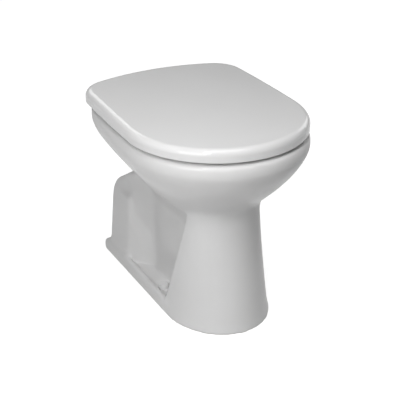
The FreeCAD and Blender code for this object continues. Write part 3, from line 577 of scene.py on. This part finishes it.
def makeStud(side, settings):
    low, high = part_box("hinge_stud_" + side)
    centre = (low + high) / 2
    radius = (high.x - low.x) / 2
    length = high.z - low.z
    rings = int(length / settings["pitch"] * settings["perTurn"])
    around = settings["around"]
    shell = bmesh.new()
    rows = []
    for ring in range(rings + 1):
        z = length * ring / rings
        end = min(z, length - z)
        row = []
        for step in range(around):
            turn = step / around
            phase = (z / settings["pitch"] - turn) % 1
            reach = radius - settings["depth"] * (1 - abs(2 * phase - 1))
            reach = min(reach, radius - settings["chamfer"] + end)
            angle = 2 * math.pi * turn
            place = (centre.x + reach * math.cos(angle), centre.y + reach * math.sin(angle), low.z + z)
            row.append(shell.verts.new(place))
        rows.append(row)
    for below, above in zip(rows, rows[1:]):
        for step in range(around):
            after = (step + 1) % around
            shell.faces.new((below[step], below[after], above[after], above[step]))
    shell.faces.new(rows[0][::-1])
    shell.faces.new(rows[-1])
    mesh = bpy.data.meshes.new("threadedStud." + side)
    shell.to_mesh(mesh)
    shell.free()
    mesh.materials.append(finishes["fixing_steel"])
    piece = bpy.data.objects.new("threadedStud." + side, mesh)
    scene.collection.objects.link(piece)
    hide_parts("hinge_stud_" + side)
    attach(piece, "pan")


for side in ("left", "right"):
    makeStud(side, studSettings)
print("studs threaded")


# studio: pale floor, soft lights, even sky
studioSettings = {
    "floorSize": 30.0,
    "floorHeight": -0.0003,  # just below the foot
    "floorRough": 0.9,
    "floorTone": 0.58,
    "floorGlow": 0.82,
    "sky": (1.0, 1.0, 1.0, 1),
    "skyStrength": 0.05,
    "target": (0.0, -0.05, 0.25),
    "lamps": {  # turn from the front and height in degrees
        "keyBox": {"turn": -38, "height": 50, "far": 1.9, "size": (0.22, 0.5), "power": 8.0},
        "wideBox": {"turn": -52, "height": 27, "far": 1.5, "size": (0.8, 0.6), "power": 8.4},
        "leftStrip": {"turn": -84, "height": 33, "far": 3.2, "size": (1.3, 0.12), "power": 3.0},
        "frontStrip": {"turn": 10, "height": 50, "far": 3.2, "size": (1.8, 0.12), "power": 5.0},
        "sideBox": {"turn": 118, "height": 22, "far": 3.2, "size": (1.2, 1.2), "power": 10.0},
        "topBox": {"turn": -5, "height": 74, "far": 2.1, "size": (1.0, 1.0), "power": 15.5},
        "backBox": {"turn": 180, "height": 32, "far": 3.2, "size": (1.2, 1.2), "power": 10.0},
    },
}


def makeFloor(settings):
    half = settings["floorSize"] / 2
    shell = bmesh.new()
    low = settings["floorHeight"]
    signs = ((-1, -1), (1, -1), (1, 1), (-1, 1))
    corners = [shell.verts.new((x * half, y * half, low)) for x, y in signs]
    shell.faces.new(corners)
    mesh = bpy.data.meshes.new("studioFloor")
    shell.to_mesh(mesh)
    shell.free()
    floor = bpy.data.objects.new("studioFloor", mesh)
    scene.collection.objects.link(floor)
    material = bpy.data.materials.new("paleFloor")
    material.use_nodes = True
    tree = material.node_tree
    shader = tree.nodes["Principled BSDF"]
    shader.inputs["Base Color"].default_value = grey(settings["floorTone"])
    shader.inputs["Roughness"].default_value = settings["floorRough"]
    shader.inputs["Emission Color"].default_value = (1, 1, 1, 1)
    path = addNode(tree, "ShaderNodeLightPath", -800, -300)
    seen = path.outputs["Is Camera Ray"]
    for ray in ("Is Glossy Ray", "Is Transmission Ray"):
        either = addNode(tree, "ShaderNodeMath", -500, -300, operation="MAXIMUM")
        join(tree, seen, either.inputs[0])
        join(tree, path.outputs[ray], either.inputs[1])
        seen = either.outputs[0]
    glow = addNode(tree, "ShaderNodeMath", -250, -300, operation="MULTIPLY")
    glow.inputs[1].default_value = settings["floorGlow"]
    join(tree, seen, glow.inputs[0])
    join(tree, glow.outputs[0], shader.inputs["Emission Strength"])
    mesh.materials.append(material)


def makeLamps(settings):
    target = Vector(settings["target"])
    for name, values in settings["lamps"].items():
        data = bpy.data.lights.new(name, "AREA")
        data.shape = "RECTANGLE"
        data.size, data.size_y = values["size"]
        data.energy = values["power"]
        lamp = bpy.data.objects.new(name, data)
        turn, height = math.radians(values["turn"]), math.radians(values["height"])
        flat = values["far"] * math.cos(height)
        away = Vector((flat * math.sin(turn), -flat * math.cos(turn), values["far"] * math.sin(height)))
        lamp.location = target + away
        lamp.rotation_mode = "QUATERNION"
        lamp.rotation_quaternion = away.to_track_quat("Z", "Y")
        scene.collection.objects.link(lamp)


def makeSky(settings):
    world = bpy.data.worlds.new("studioSky")
    world.use_nodes = True
    background = world.node_tree.nodes["Background"]
    background.inputs["Color"].default_value = settings["sky"]
    background.inputs["Strength"].default_value = settings["skyStrength"]
    scene.world = world


makeFloor(studioSettings)
makeLamps(studioSettings)
makeSky(studioSettings)
print("studio lit")
